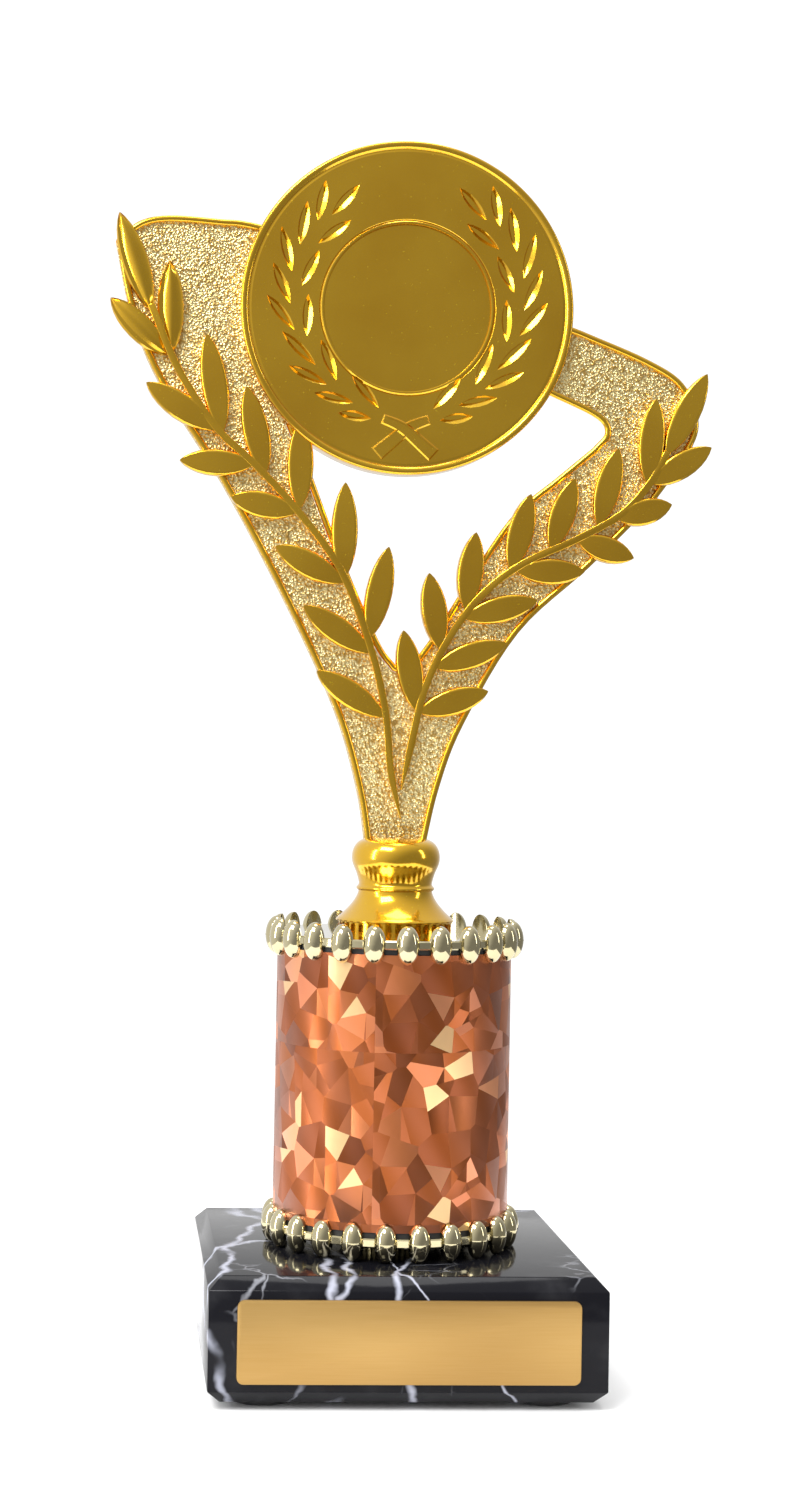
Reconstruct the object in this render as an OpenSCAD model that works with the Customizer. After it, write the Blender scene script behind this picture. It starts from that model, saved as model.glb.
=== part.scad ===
// Column trophy: a marble base, a foil covered column between two bead rings,
// a flared riser and a winged laurel figure with a medal disc, all clamped on one rod.
// Millimetres. +Z is up, -Y is the front, the origin is under the middle of the base.

/* [Base] */
// Width and depth of the square marble base
base_size = 56; // [52:0.5:64]
// Height of the marble base
base_height = 17.5; // [16:0.5:24]
// Chamfer on the top and bottom edges of the base
base_chamfer = 1.8; // [1:0.1:2.4]
// Diameter of the counterbore that hides the nut
counterbore_d = 20; // [18:0.5:24]
// Depth of the counterbore
counterbore_depth = 9.5; // [9:0.5:11]
// Thickness of each self-adhesive foot
foot_thickness = 1; // [0.6:0.1:1.5]
// Diameter of each foot
foot_d = 9; // [7:0.5:10]
// Distance of each foot's centre from the middle of the base, along X and along Y
foot_reach = 20; // [18:0.5:21]

/* [Name plate] */
// Width of the name plate
plate_width = 48; // [40:0.5:50]
// Height of the name plate
plate_height = 11.6; // [9:0.1:12]
// Thickness of the name plate
plate_thickness = 0.5; // [0.4:0.05:1]
// Corner radius of the name plate
plate_corner = 1; // [0.5:0.1:2]
// Thickness of the adhesive behind the name plate
adhesive_thickness = 0.15; // [0.1:0.05:0.2]

/* [Column] */
// Outside diameter of the foil covered column
column_d = 35; // [34:0.5:36]
// Height from the lower beads' middle to the upper beads' middle
column_height = 42.5; // [36:0.5:120]
// Thickness of the foil
foil_thickness = 0.2; // [0.15:0.05:0.3]
// Wall of the column's core tube
tube_wall = 2; // [1.5:0.1:2.2]
// Bare tube that shows between the foil and each bead ring
foil_gap = 0.8; // [0.4:0.1:1.2]

/* [Bead rings] */
// Number of beads in a ring
bead_count = 23; // [20:1:23]
// Height of a bead
bead_height = 5.6; // [5:0.1:6]
// Width of a bead
bead_width = 3.4; // [3:0.1:3.5]
// How far a bead stands out of the column
bead_reach = 1.8; // [1.5:0.1:2]
// Thickness of the ring's plate, whose edge shows between the beads
ring_plate = 1.3; // [1:0.1:1.6]

/* [Riser] */
// Height of the riser
riser_height = 6.3; // [5.5:0.1:8]
// Radius of the riser's fluted skirt
skirt_radius = 8.8; // [8.4:0.1:9.4]
// Number of flutes round the skirt
flute_count = 32; // [24:1:36]

/* [Figure] */
// Thickness of the wings behind their rim
wing_thickness = 2.5; // [2:0.1:3]
// Height of the wings' rim over their stippled field
rim_height = 0.7; // [0.5:0.1:1]
// Width of the wings' rim
rim_width = 1; // [0.8:0.1:1.2]
// Height of the laurel over the stippled field
laurel_height = 1.7; // [1.2:0.1:2]
// Width of the laurel stems
stem_width = 1.1; // [0.9:0.1:1.4]
// Width of a laurel leaf
leaf_width = 4; // [3.6:0.1:4.4]

/* [Medal disc] */
// Diameter of the medal disc
disc_d = 50; // [48:0.5:52]
// Diameter of the recess for a round centre
recess_d = 25; // [24:0.1:26]
// Depth of the recess
recess_depth = 0.5; // [0.3:0.1:1]
// How far the disc's face stands in front of the stippled field
disc_front = 1.8; // [1.5:0.1:2.2]

/* [Fixings] */
// Diameter of the threaded rod
rod_d = 6; // [5.8:0.1:6]
// Clearance hole for the rod
rod_hole_d = 6.5; // [6.4:0.1:7]
// Width of the nut across its flats
nut_flats = 10; // [9.8:0.1:10]
// Height of the nut
nut_height = 5; // [4.5:0.1:5]

/* [Hidden] */
$fn = 96;

// Heights of the stack, from the feet up.
base_top = foot_thickness + base_height;
lower_ring_z = base_top + bead_height / 2;
upper_ring_z = lower_ring_z + column_height;
tube_z = lower_ring_z + ring_plate / 2;
tube_length = column_height - ring_plate;
riser_z = upper_ring_z + ring_plate / 2;
joint_z = riser_z + riser_height;
counterbore_z = foot_thickness + counterbore_depth;

// Column and rings.
column_r = column_d / 2;
tube_r = column_r - foil_thickness;
tube_inner_r = tube_r - tube_wall;
rod_r = rod_d / 2;
rod_hole_r = rod_hole_d / 2;
ring_edge_r = column_r + 0.5;
spigot_clearance = 0.1;
spigot_wall = 1.4;
spigot_height = 4;
boss_r = 5.5;
boss_height = (bead_height - ring_plate) / 2;
bead_steps = 14;

// Fixings inside the counterbore.
washer_r = 6;
washer_thickness = 1.6;
lock_washer_r = 5.6;
lock_washer_thickness = 1.5;
washer_hole_r = 3.2;
nut_clearance = 0.05;
rod_foot_z = 1.8;
insert_r = 4;
insert_length = 5;
insert_z = joint_z + 0.8;
rod_top_z = insert_z + insert_length;

// Riser: radii of its flared wall, and its hollow.
riser_top_r = 5.5;
riser_hollow_r = 6.2;
riser_hollow_height = 2.9;
skirt_height = 1.7;
skirt_lip = 0.35;
flute_depth = 0.5;
flute_width = 0.9;
flute_top = 1.4;

// Figure: depths along Y, from the back of the wings to the front of the disc.
wing_back_y = 1.4;
field_y = wing_back_y - wing_thickness;
disc_face_y = field_y - disc_front;
disc_rim_height = 0.35;
disc_rim_width = 1.3;
recess_ridge_width = 0.6;
recess_ridge_height = 0.15;
disc_z = 87;
disc_r = disc_d / 2;
recess_r = recess_d / 2;

// Knob under the wings: radii up its side from the joint.
knob_side = [
    [5.7, 0], [5.85, 0.35], [5.55, 0.75], [5.5, 1.2], [5.9, 2.6], [6.45, 3.9],
    [6.6, 5], [6.35, 6.2], [5.6, 7.2], [4.2, 7.8], [2, 8]
];

// The wings' outline in the figure's own plane, X across and Z up from the joint.
// Each stretch is a smooth curve through its points, and stretches meet at corners.
outer_left = [
    [-4.6, 6], [-6.1, 15], [-9.8, 27], [-17.8, 43.5], [-27.3, 60.5], [-36.8, 75], [-41.3, 85.5], [-43.7, 96]
];
top_left = [[-43.7, 96], [-40.3, 99], [-35.8, 100], [-28.3, 99.7], [-21.8, 99], [-0.3, 94], [26.7, 84.5]];
top_right = [[26.7, 84.5], [36.7, 80.5], [42.2, 77], [44.6, 71.5], [43.2, 66.5], [37.7, 58.5]];
outer_right = [[37.7, 58.5], [28.2, 48.8], [17.7, 38.8], [9.7, 25], [6.2, 15.5], [4.1, 6]];
inner_left = [[-22.8, 80], [-16.9, 67], [-10.6, 51], [-4.3, 37], [-1.3, 32.8]];
crotch = [[-1.3, 32.8], [0.9, 32], [2.7, 33.5]];
inner_right = [[2.7, 33.5], [6.7, 39.3], [12.1, 48.2], [17.7, 56.3], [23.7, 61.5], [29.2, 66.2]];
inner_loop = [[29.2, 66.2], [31.3, 69], [29.7, 72.1], [21.7, 75.8]];

// Laurel stems, in the same plane.
left_stem = [
    [0.3, 10.8], [-1.3, 18], [-2.2, 26.5], [-4.7, 36.4], [-9.3, 47.6], [-16.1, 56.5],
    [-22.6, 63.2], [-28.3, 68.4], [-34.1, 77], [-38.3, 86.5]
];
right_stem = [
    [0.3, 15], [1.7, 21.7], [3.6, 30.1], [7.1, 37.8], [12, 44.4], [18.1, 49.2],
    [25.7, 52.8], [32.9, 57], [37.3, 62], [39.7, 66.5]
];

// Laurel leaves: X and Z of the leaf's foot on the stem, its length, and its direction from +X.
left_leaves = [
    [-2.3, 25.8, 12.3, 147], [-4.6, 35.3, 12.3, 146], [-8.8, 45.7, 11.6, 153], [-16.1, 56, 10, 168],
    [-22.6, 63, 11, 178], [-28.3, 68, 12.5, 147], [-35.7, 79, 12, 136],
    [-4.8, 37.5, 14, 79], [-8.8, 46.2, 14.5, 90], [-15.6, 56.5, 13.5, 90], [-20.8, 61.5, 13.5, 103],
    [-27.3, 67.5, 15, 100], [-35.1, 79.2, 14, 92], [-38.2, 85.5, 15.5, 109]
];
right_leaves = [
    [2.8, 26.6, 10.9, 18], [5.1, 33.3, 11.4, 20], [9.4, 40.8, 11.3, 15], [17.2, 48, 10.2, 1],
    [26.2, 53, 9, -17], [32.2, 56.2, 8.6, 16], [37.2, 61.6, 10.8, 32],
    [2.4, 26.8, 12.2, 100], [5.8, 36, 11.6, 99], [9.5, 42, 11.8, 83], [16.2, 48, 12, 76],
    [22.2, 51.3, 11.4, 72], [29.3, 55, 12.2, 76], [36.7, 61.5, 13, 85], [39.5, 66, 13.8, 64]
];

// One span of a smooth curve between p1 and p2, with its neighbours p0 and p3.
function span_point(p0, p1, p2, p3, t) =
    0.5 * (2 * p1 + (p2 - p0) * t + (2 * p0 - 5 * p1 + 4 * p2 - p3) * t * t
        + (3 * p1 - p0 - 3 * p2 + p3) * t * t * t);

// Points of a smooth open curve through all of p, with the given steps in each span.
function smooth(p, steps) =
    let (last = len(p) - 1, q = concat([2 * p[0] - p[1]], p, [2 * p[last] - p[last - 1]]))
    concat([for (i = [0 : last - 1]) for (k = [0 : steps - 1])
        span_point(q[i], q[i + 1], q[i + 2], q[i + 3], k / steps)], [p[last]]);

// Places a flat shape of the figure's plane, with its back at y and its front depth in front of that.
module in_figure(y, depth) {
    translate([0, y, joint_z]) rotate([90, 0, 0]) linear_extrude(depth) children();
}

module disc_place() {
    translate([0, 0, joint_z + disc_z]) rotate([90, 0, 0]) children();
}

// A ring of copies round the Z axis.
module around(count) {
    for (i = [0 : count - 1]) rotate([0, 0, i * 360 / count]) children();
}

module marble_base() {
    half = base_size / 2;
    low = foot_thickness;
    c = base_chamfer;
    profile = [[-half + c, low], [half - c, low], [half, low + c], [half, base_top - c],
               [half - c, base_top], [-half + c, base_top], [-half, base_top - c], [-half, low + c]];
    color([0.09, 0.09, 0.1]) difference() {
        intersection() {
            translate([0, half, 0]) rotate([90, 0, 0]) linear_extrude(base_size) polygon(profile);
            translate([-half, 0, 0]) rotate([90, 0, 90]) linear_extrude(base_size) polygon(profile);
        }
        translate([0, 0, -1]) cylinder(r = rod_hole_r, h = base_top + 2);
        translate([0, 0, -1]) cylinder(d = counterbore_d, h = counterbore_z + 1);
    }
}

module rounded_plate(width, height, corner, thickness) {
    rotate([90, 0, 0]) linear_extrude(thickness) union() {
        square([width - 2 * corner, height], center = true);
        square([width, height - 2 * corner], center = true);
        for (x = [-1, 1], z = [-1, 1])
            translate([x * (width / 2 - corner), z * (height / 2 - corner)]) circle(r = corner, $fn = 32);
    }
}

module name_plate() {
    color([0.85, 0.66, 0.36])
        translate([0, -base_size / 2 - adhesive_thickness, foot_thickness + base_height / 2])
        rounded_plate(plate_width, plate_height, plate_corner, plate_thickness);
}

module plate_adhesive() {
    margin = 0.6;
    width = plate_width - 2 * margin;
    height = plate_height - 2 * margin;
    color([0.9, 0.9, 0.85]) translate([0, -base_size / 2, foot_thickness + base_height / 2])
        rounded_plate(width, height, plate_corner, adhesive_thickness);
}

module foot(side_x, side_y) {
    color([0.12, 0.12, 0.12])
        translate([side_x * foot_reach, side_y * foot_reach, 0]) cylinder(d = foot_d, h = foot_thickness);
}

module base_washer() {
    color([0.75, 0.76, 0.78]) translate([0, 0, counterbore_z - washer_thickness]) difference() {
        cylinder(r = washer_r, h = washer_thickness);
        translate([0, 0, -1]) cylinder(r = washer_hole_r, h = washer_thickness + 2);
    }
}

module lock_washer() {
    split = 0.8;
    color([0.68, 0.69, 0.72])
        translate([0, 0, counterbore_z - washer_thickness - lock_washer_thickness]) difference() {
        cylinder(r = lock_washer_r, h = lock_washer_thickness);
        translate([0, 0, -1]) cylinder(r = washer_hole_r, h = lock_washer_thickness + 2);
        translate([0, -split / 2, -1]) cube([lock_washer_r + 1, split, lock_washer_thickness + 2]);
    }
}

module base_nut() {
    nut_top = counterbore_z - washer_thickness - lock_washer_thickness;
    corner_r = nut_flats / 2 / cos(30);
    color([0.72, 0.73, 0.75]) translate([0, 0, nut_top - nut_height]) difference() {
        cylinder(r = corner_r, h = nut_height, $fn = 6);
        translate([0, 0, -1]) cylinder(r = rod_r + nut_clearance, h = nut_height + 2);
    }
}

module threaded_rod() {
    tip = 0.6;
    color([0.75, 0.76, 0.78]) rotate_extrude() polygon([
        [0, rod_foot_z], [rod_r - tip, rod_foot_z], [rod_r, rod_foot_z + tip],
        [rod_r, rod_top_z - tip], [rod_r - tip, rod_top_z], [0, rod_top_z]
    ]);
}

// Half of a bead's side, from its bottom tip to its top tip.
function bead_side() = [for (i = [0 : bead_steps])
    let (a = -90 + 180 * i / bead_steps) [bead_width / 2 * cos(a), bead_height / 2 * sin(a)]];

// A bead ring whose spigot points up, with the middle of its beads at z = 0.
module bead_ring() {
    bead_centre_r = column_r + bead_reach - bead_width / 2;
    spigot_r = tube_inner_r - spigot_clearance;
    color([0.83, 0.79, 0.62]) {
        difference() {
            union() {
                cylinder(r = ring_edge_r, h = ring_plate, center = true);
                around(bead_count) translate([0, -bead_centre_r, 0])
                    rotate_extrude($fn = 48) polygon(bead_side());
            }
            translate([0, 0, ring_plate / 2]) cylinder(r = column_r, h = bead_height);
            translate([0, 0, -ring_plate / 2 - bead_height]) cylinder(r = column_r, h = bead_height);
            cylinder(r = rod_hole_r, h = bead_height * 2, center = true);
        }
        translate([0, 0, ring_plate / 2]) difference() {
            cylinder(r = spigot_r, h = spigot_height);
            translate([0, 0, -1]) cylinder(r = spigot_r - spigot_wall, h = spigot_height + 2);
        }
        translate([0, 0, -ring_plate / 2 - boss_height]) difference() {
            cylinder(r = boss_r, h = boss_height);
            translate([0, 0, -1]) cylinder(r = rod_hole_r, h = boss_height + 2);
        }
    }
}

module lower_bead_ring() {
    half_pitch = 180 / bead_count;
    translate([0, 0, lower_ring_z]) rotate([0, 0, half_pitch]) bead_ring();
}

module upper_bead_ring() {
    translate([0, 0, upper_ring_z]) rotate([0, 180, 0]) bead_ring();
}

module column_tube() {
    color([0.07, 0.07, 0.07]) translate([0, 0, tube_z]) difference() {
        cylinder(r = tube_r, h = tube_length);
        translate([0, 0, -1]) cylinder(r = tube_inner_r, h = tube_length + 2);
    }
}

module foil_wrap() {
    foil_length = tube_length - 2 * foil_gap;
    color([0.78, 0.45, 0.26]) translate([0, 0, tube_z + foil_gap]) difference() {
        cylinder(r = column_r, h = foil_length);
        translate([0, 0, -1]) cylinder(r = tube_r, h = foil_length + 2);
    }
}

// The riser's flare, from the skirt's lip to the top, as a quarter wave that is steepest at the neck.
function riser_flare(steps) = [for (i = [0 : steps])
    let (t = i / steps, low = skirt_height + 0.2)
    [riser_top_r + (skirt_radius - riser_top_r) * pow(1 - t, 1.6), low + (riser_height - low) * t]];

module riser() {
    flare = riser_flare(10);
    color([0.72, 0.56, 0.16]) translate([0, 0, riser_z]) difference() {
        rotate_extrude() polygon(concat(
            [[0, 0], [skirt_radius - skirt_lip, 0], [skirt_radius - skirt_lip, skirt_height],
             [skirt_radius, skirt_height]], flare, [[0, riser_height]]));
        translate([0, 0, -1]) cylinder(r = rod_hole_r, h = riser_height + 2);
        translate([0, 0, -1]) cylinder(r = riser_hollow_r, h = riser_hollow_height + 1);
        around(flute_count) translate([0, -skirt_radius, 0])
            cube([flute_width, 2 * (flute_depth + skirt_lip), 2 * flute_top], center = true);
    }
}

// The flat outline of the wings, with the opening between them cut out.
module wings_flat() {
    steps = 6;
    difference() {
        polygon(concat(smooth(outer_left, steps), smooth(top_left, steps), smooth(top_right, steps),
            smooth(outer_right, steps)));
        opening_flat();
    }
}

module opening_flat() {
    steps = 6;
    polygon(concat(smooth(inner_left, steps), smooth(crotch, steps),
        smooth(inner_right, steps), smooth(inner_loop, steps)));
}

module leaf_flat(length) {
    arc_r = (length * length + leaf_width * leaf_width) / (4 * leaf_width);
    intersection() {
        translate([length / 2, arc_r - leaf_width / 2]) circle(r = arc_r, $fn = 144);
        translate([length / 2, leaf_width / 2 - arc_r]) circle(r = arc_r, $fn = 144);
    }
}

// A stem of even width that tapers at its free lower end.
module stem_flat(path) {
    line = smooth(path, 4);
    last = len(line) - 1;
    normals = [for (i = [0 : last])
        let (d = line[min(i + 1, last)] - line[max(i - 1, 0)]) [-d[1], d[0]] / norm(d)];
    half = [for (i = [0 : last]) stem_width / 2 * min(1, 0.2 + i / 4)];
    polygon(concat([for (i = [0 : last]) line[i] - normals[i] * half[i]],
        [for (i = [last : -1 : 0]) line[i] + normals[i] * half[i]]));
}

module laurel_flat(path, leaves) {
    union() {
        stem_flat(path);
        for (leaf = leaves) translate([leaf[0], leaf[1]]) rotate(leaf[3]) leaf_flat(leaf[2]);
    }
}

module laurel(path, leaves) {
    color([0.7, 0.54, 0.14]) difference() {
        in_figure(field_y, laurel_height) laurel_flat(path, leaves);
        disc_place() cylinder(r = disc_r, h = 20, center = true);
    }
}

module left_laurel() {
    laurel(left_stem, left_leaves);
}

module right_laurel() {
    laurel(right_stem, right_leaves);
}

module figure() {
    color([0.86, 0.74, 0.46]) difference() {
        union() {
            in_figure(wing_back_y, wing_thickness) wings_flat();
            in_figure(field_y, rim_height) difference() {
                wings_flat();
                offset(delta = -rim_width) wings_flat();
                laurel_flat(left_stem, left_leaves);
                laurel_flat(right_stem, right_leaves);
            }
            translate([0, 0, joint_z]) rotate_extrude() polygon(concat([[0, 0]], knob_side, [[0, 8]]));
        }
        disc_place() cylinder(r = disc_r, h = 20, center = true);
        translate([0, 0, joint_z - 1]) cylinder(r = rod_hole_r, h = insert_z - joint_z + 1);
        translate([0, 0, insert_z]) cylinder(r = insert_r, h = insert_length);
    }
}

module figure_insert() {
    color([0.78, 0.62, 0.3]) translate([0, 0, insert_z]) difference() {
        cylinder(r = insert_r, h = insert_length);
        translate([0, 0, -1]) cylinder(r = rod_r + nut_clearance, h = insert_length + 2);
    }
}

module medal_disc() {
    body = wing_back_y - disc_face_y;
    color([0.68, 0.53, 0.13]) translate([0, wing_back_y, 0]) disc_place() difference() {
        union() {
            cylinder(r = disc_r, h = body);
            cylinder(r = recess_r + recess_ridge_width, h = body + recess_ridge_height);
            difference() {
                cylinder(r = disc_r, h = body + disc_rim_height);
                cylinder(r = disc_r - disc_rim_width, h = body + 1);
            }
        }
        translate([0, 0, body - recess_depth]) cylinder(r = recess_r, h = 2);
    }
}

marble_base();
name_plate();
plate_adhesive();
foot(-1, -1);  // foot_front_left
foot(1, -1);  // foot_front_right
foot(-1, 1);  // foot_back_left
foot(1, 1);  // foot_back_right
base_nut();
lock_washer();
base_washer();
threaded_rod();
lower_bead_ring();
column_tube();
foil_wrap();
upper_bead_ring();
riser();
figure();
figure_insert();
left_laurel();
right_laurel();
medal_disc();
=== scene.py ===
"""Looks of the column trophy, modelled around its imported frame."""
from math import atan2, cos, hypot, pi, radians, sin, sqrt, tau

import bmesh
import bpy
from mathutils import Matrix, Vector


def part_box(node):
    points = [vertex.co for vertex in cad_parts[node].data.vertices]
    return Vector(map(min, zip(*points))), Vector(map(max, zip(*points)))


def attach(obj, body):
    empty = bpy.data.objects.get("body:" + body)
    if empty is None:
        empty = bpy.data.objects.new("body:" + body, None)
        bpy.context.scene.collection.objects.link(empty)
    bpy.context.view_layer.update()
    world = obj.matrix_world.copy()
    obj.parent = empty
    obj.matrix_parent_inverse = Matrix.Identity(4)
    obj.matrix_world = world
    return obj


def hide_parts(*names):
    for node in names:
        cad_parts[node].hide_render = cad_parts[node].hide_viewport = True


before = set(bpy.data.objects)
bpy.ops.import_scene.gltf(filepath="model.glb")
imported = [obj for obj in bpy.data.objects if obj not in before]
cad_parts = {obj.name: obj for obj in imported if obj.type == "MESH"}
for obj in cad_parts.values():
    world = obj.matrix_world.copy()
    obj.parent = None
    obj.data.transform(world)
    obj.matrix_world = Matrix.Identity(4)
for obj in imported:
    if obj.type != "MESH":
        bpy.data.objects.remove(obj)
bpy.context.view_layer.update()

# All sizes below are millimetres until a point is placed.
MM = 0.001
# Points closer than MERGE become one. A point within NEAR of a plane counts as being on it.
MERGE = 0.002
NEAR = 0.01

# ---------------------------------------------------------------- sizes taken from the frame


def span(node):
    """Lowest and highest corner of a node, in millimetres."""
    low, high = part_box(node)
    return low / MM, high / MM


BASE_LOW, BASE_HIGH = span("marble_base")
PLATE_LOW, PLATE_HIGH = span("name_plate")
FOIL_LOW, FOIL_HIGH = span("foil_wrap")
RISER_LOW, RISER_HIGH = span("riser")
ROD_LOW, ROD_HIGH = span("threaded_rod")
DISC_LOW, DISC_HIGH = span("medal_disc")
JOINT_Z = RISER_HIGH.z
COLUMN_R = FOIL_HIGH.x
DISC_R = (DISC_HIGH.x - DISC_LOW.x) / 2
DISC_X = (DISC_HIGH.x + DISC_LOW.x) / 2
DISC_Z = (DISC_HIGH.z + DISC_LOW.z) / 2

# ---------------------------------------------------------------- sizes of the visible detail
BASE_CHAMFER = 1.8
COUNTERBORE_R = 10
COUNTERBORE_DEPTH = 9.5
ROD_HOLE_R = 3.25

BEAD_COUNT = 23
BEAD_HEIGHT = 5.6
BEAD_WIDTH = 3.4
BEAD_REACH = 1.8
RING_PLATE = 1.3
LOWER_RING_Z = BASE_HIGH.z + BEAD_HEIGHT / 2
UPPER_RING_Z = RISER_LOW.z - RING_PLATE / 2

WING_BACK = 1.4
FIELD = -1.1
RIM_WIDTH = 1
LAUREL_FACE = -2.8
LEAF_LENGTH = 12
LEAF_WIDTH = 4
STEM_WIDTH = 1.1
DISC_BODY = 4.3
RECESS_R = 12.5
RECESS_DEPTH = 0.5

KNOB_SIDE = [
    (5.7, 0), (5.85, 0.35), (5.55, 0.75), (5.5, 1.2), (5.9, 2.6), (6.45, 3.9),
    (6.6, 5), (6.35, 6.2), (5.6, 7.2), (4.2, 7.8), (2, 8),
]

# Outline of the wings: X across and Z up from the top of the riser.
OUTER_LEFT = [
    (-4.6, 6), (-6.1, 15), (-9.8, 27), (-17.8, 43.5), (-27.3, 60.5), (-36.8, 75),
    (-41.3, 85.5), (-43.7, 96),
]
TOP_LEFT = [(-43.7, 96), (-40.3, 99), (-35.8, 100), (-28.3, 99.7), (-21.8, 99), (-0.3, 94), (26.7, 84.5)]
TOP_RIGHT = [(26.7, 84.5), (36.7, 80.5), (42.2, 77), (44.6, 71.5), (43.2, 66.5), (37.7, 58.5)]
OUTER_RIGHT = [(37.7, 58.5), (28.2, 48.8), (17.7, 38.8), (9.7, 25), (6.2, 15.5), (4.1, 6)]
INNER_LEFT = [(-22.8, 80), (-16.9, 67), (-10.6, 51), (-4.3, 37), (-1.3, 32.8)]
CROTCH = [(-1.3, 32.8), (0.9, 32), (2.7, 33.5)]
INNER_RIGHT = [(2.7, 33.5), (6.7, 39.3), (12.1, 48.2), (17.7, 56.3), (23.7, 61.5), (29.2, 66.2)]
INNER_LOOP = [(29.2, 66.2), (31.3, 69), (29.7, 72.1), (21.7, 75.8)]

# Laurel stems, and each leaf's foot, length and direction.
LEFT_STEM = [
    (0.3, 10.8), (-1.3, 18), (-2.2, 26.5), (-4.7, 36.4), (-9.3, 47.6), (-16.1, 56.5),
    (-22.6, 63.2), (-28.3, 68.4), (-34.1, 77), (-38.3, 86.5),
]
RIGHT_STEM = [
    (0.3, 15), (1.7, 21.7), (3.6, 30.1), (7.1, 37.8), (12, 44.4), (18.1, 49.2),
    (25.7, 52.8), (32.9, 57), (37.3, 62), (39.7, 66.5),
]
LEFT_LEAVES = [
    (-2.3, 25.8, 12.3, 147), (-4.6, 35.3, 12.3, 146), (-8.8, 45.7, 11.6, 153), (-16.1, 56, 10, 168),
    (-22.6, 63, 11, 178), (-28.3, 68, 12.5, 147), (-35.7, 79, 12, 136),
    (-4.8, 37.5, 14, 79), (-8.8, 46.2, 14.5, 90), (-15.6, 56.5, 13.5, 90), (-20.8, 61.5, 13.5, 103),
    (-27.3, 67.5, 15, 100), (-35.1, 79.2, 14, 92), (-38.2, 85.5, 15.5, 109),
]
RIGHT_LEAVES = [
    (2.8, 26.6, 10.9, 18), (5.1, 33.3, 11.4, 20), (9.4, 40.8, 11.3, 15), (17.2, 48, 10.2, 1),
    (26.2, 53, 9, -17), (32.2, 56.2, 8.6, 16), (37.2, 61.6, 10.8, 32),
    (2.4, 26.8, 12.2, 100), (5.8, 36, 11.6, 99), (9.5, 42, 11.8, 83), (16.2, 48, 12, 76),
    (22.2, 51.3, 11.4, 72), (29.3, 55, 12.2, 76), (36.7, 61.5, 13, 85), (39.5, 66, 13.8, 64),
]
# A leaf whose foot is higher than this is sculpted with ridges. Only the left branch reaches so high.
RIDGED_FROM_Z = 68

# Engraved leaves of the disc's left spray, from foot to tip, measured from the disc's centre.
DISC_LEAVES = [
    ((-4, -15.2), (-8, -10.5)), ((-10.4, -11.3), (-12.8, -5.4)), ((-15, -4.8), (-14.9, 1.3)),
    ((-16, 2.7), (-13.5, 7.9)), ((-13.7, 9.1), (-8.9, 12.7)), ((-11.7, 13.4), (-7.7, 18)),
    ((-5.1, -16.8), (-9.9, -16.1)), ((-7.8, -14.5), (-13.5, -13.2)), ((-11.8, -11.9), (-17.4, -9.3)),
    ((-13.5, -9.1), (-18.5, -4.3)), ((-16.8, -3.9), (-20.9, 1.1)), ((-17.5, 0), (-20.1, 5.9)),
    ((-17.4, 4.8), (-19, 11.3)), ((-16.3, 8.8), (-15.3, 15.2)), ((-13.7, 12.5), (-12.6, 18.4)),
]
RIBBON = [(-3.5, -16.7), (-1.6, -17.4), (0, -18.3), (2, -20), (4.3, -22)]

# ---------------------------------------------------------------- modelling by hand


def at(x, y, z):
    return Vector((x, y, z)) * MM


def only(piece):
    """Selects one piece and nothing else."""
    bpy.ops.object.select_all(action="DESELECT")
    piece.select_set(True)
    bpy.context.view_layer.objects.active = piece


def open_edit(piece):
    only(piece)
    bpy.ops.object.mode_set(mode="EDIT")
    bpy.ops.mesh.select_all(action="DESELECT")


def close_edit():
    bpy.ops.object.mode_set(mode="OBJECT")


def pick(piece, kind, test):
    """Selects the vertices, edges or faces that pass the test, in edit mode."""
    bpy.ops.mesh.select_mode(type=kind)
    bpy.ops.mesh.select_all(action="DESELECT")
    mesh = bmesh.from_edit_mesh(piece.data)
    parts = {"VERT": mesh.verts, "EDGE": mesh.edges, "FACE": mesh.faces}[kind]
    for part in parts:
        if test(part):
            part.select_set(True)
    mesh.select_flush_mode()
    bmesh.update_edit_mesh(piece.data)


def merge_doubles():
    """Merges points that coincide, in edit mode."""
    bpy.ops.mesh.select_all(action="SELECT")
    bpy.ops.mesh.remove_doubles(threshold=MERGE * MM)


def close_up():
    """Merges doubles and turns every face outwards, in edit mode."""
    merge_doubles()
    bpy.ops.mesh.select_all(action="SELECT")
    bpy.ops.mesh.normals_make_consistent(inside=False)


def trace(name, points, closed=True):
    """A line through the points, drawn on from one vertex. It is left in edit mode, all selected."""
    bpy.ops.object.select_all(action="DESELECT")
    bpy.ops.mesh.primitive_plane_add(size=MM)
    piece = bpy.context.object
    piece.name = name
    bpy.ops.object.mode_set(mode="EDIT")
    bpy.ops.mesh.select_mode(type="VERT")
    bpy.ops.mesh.select_all(action="SELECT")
    bpy.ops.mesh.merge(type="CENTER")
    bpy.ops.transform.translate(value=points[0])
    for here, there in zip(points, points[1:]):
        bpy.ops.mesh.extrude_vertices_move(TRANSFORM_OT_translate={"value": there - here})
    if closed:
        ends = (points[0], points[-1])
        pick(piece, "VERT", lambda v: min((v.co - end).length for end in ends) < MERGE * MM)
        bpy.ops.mesh.edge_face_add()
    bpy.ops.mesh.select_all(action="SELECT")
    return piece


def turned(name, profile, steps):
    """A solid turned about the Z axis from its side, given as radius and height."""
    piece = trace(name, [at(r, 0, z) for r, z in profile])
    bpy.ops.mesh.spin(steps=steps, angle=tau, center=(0, 0, 0), axis=(0, 0, 1))
    close_up()
    close_edit()
    return piece


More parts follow.
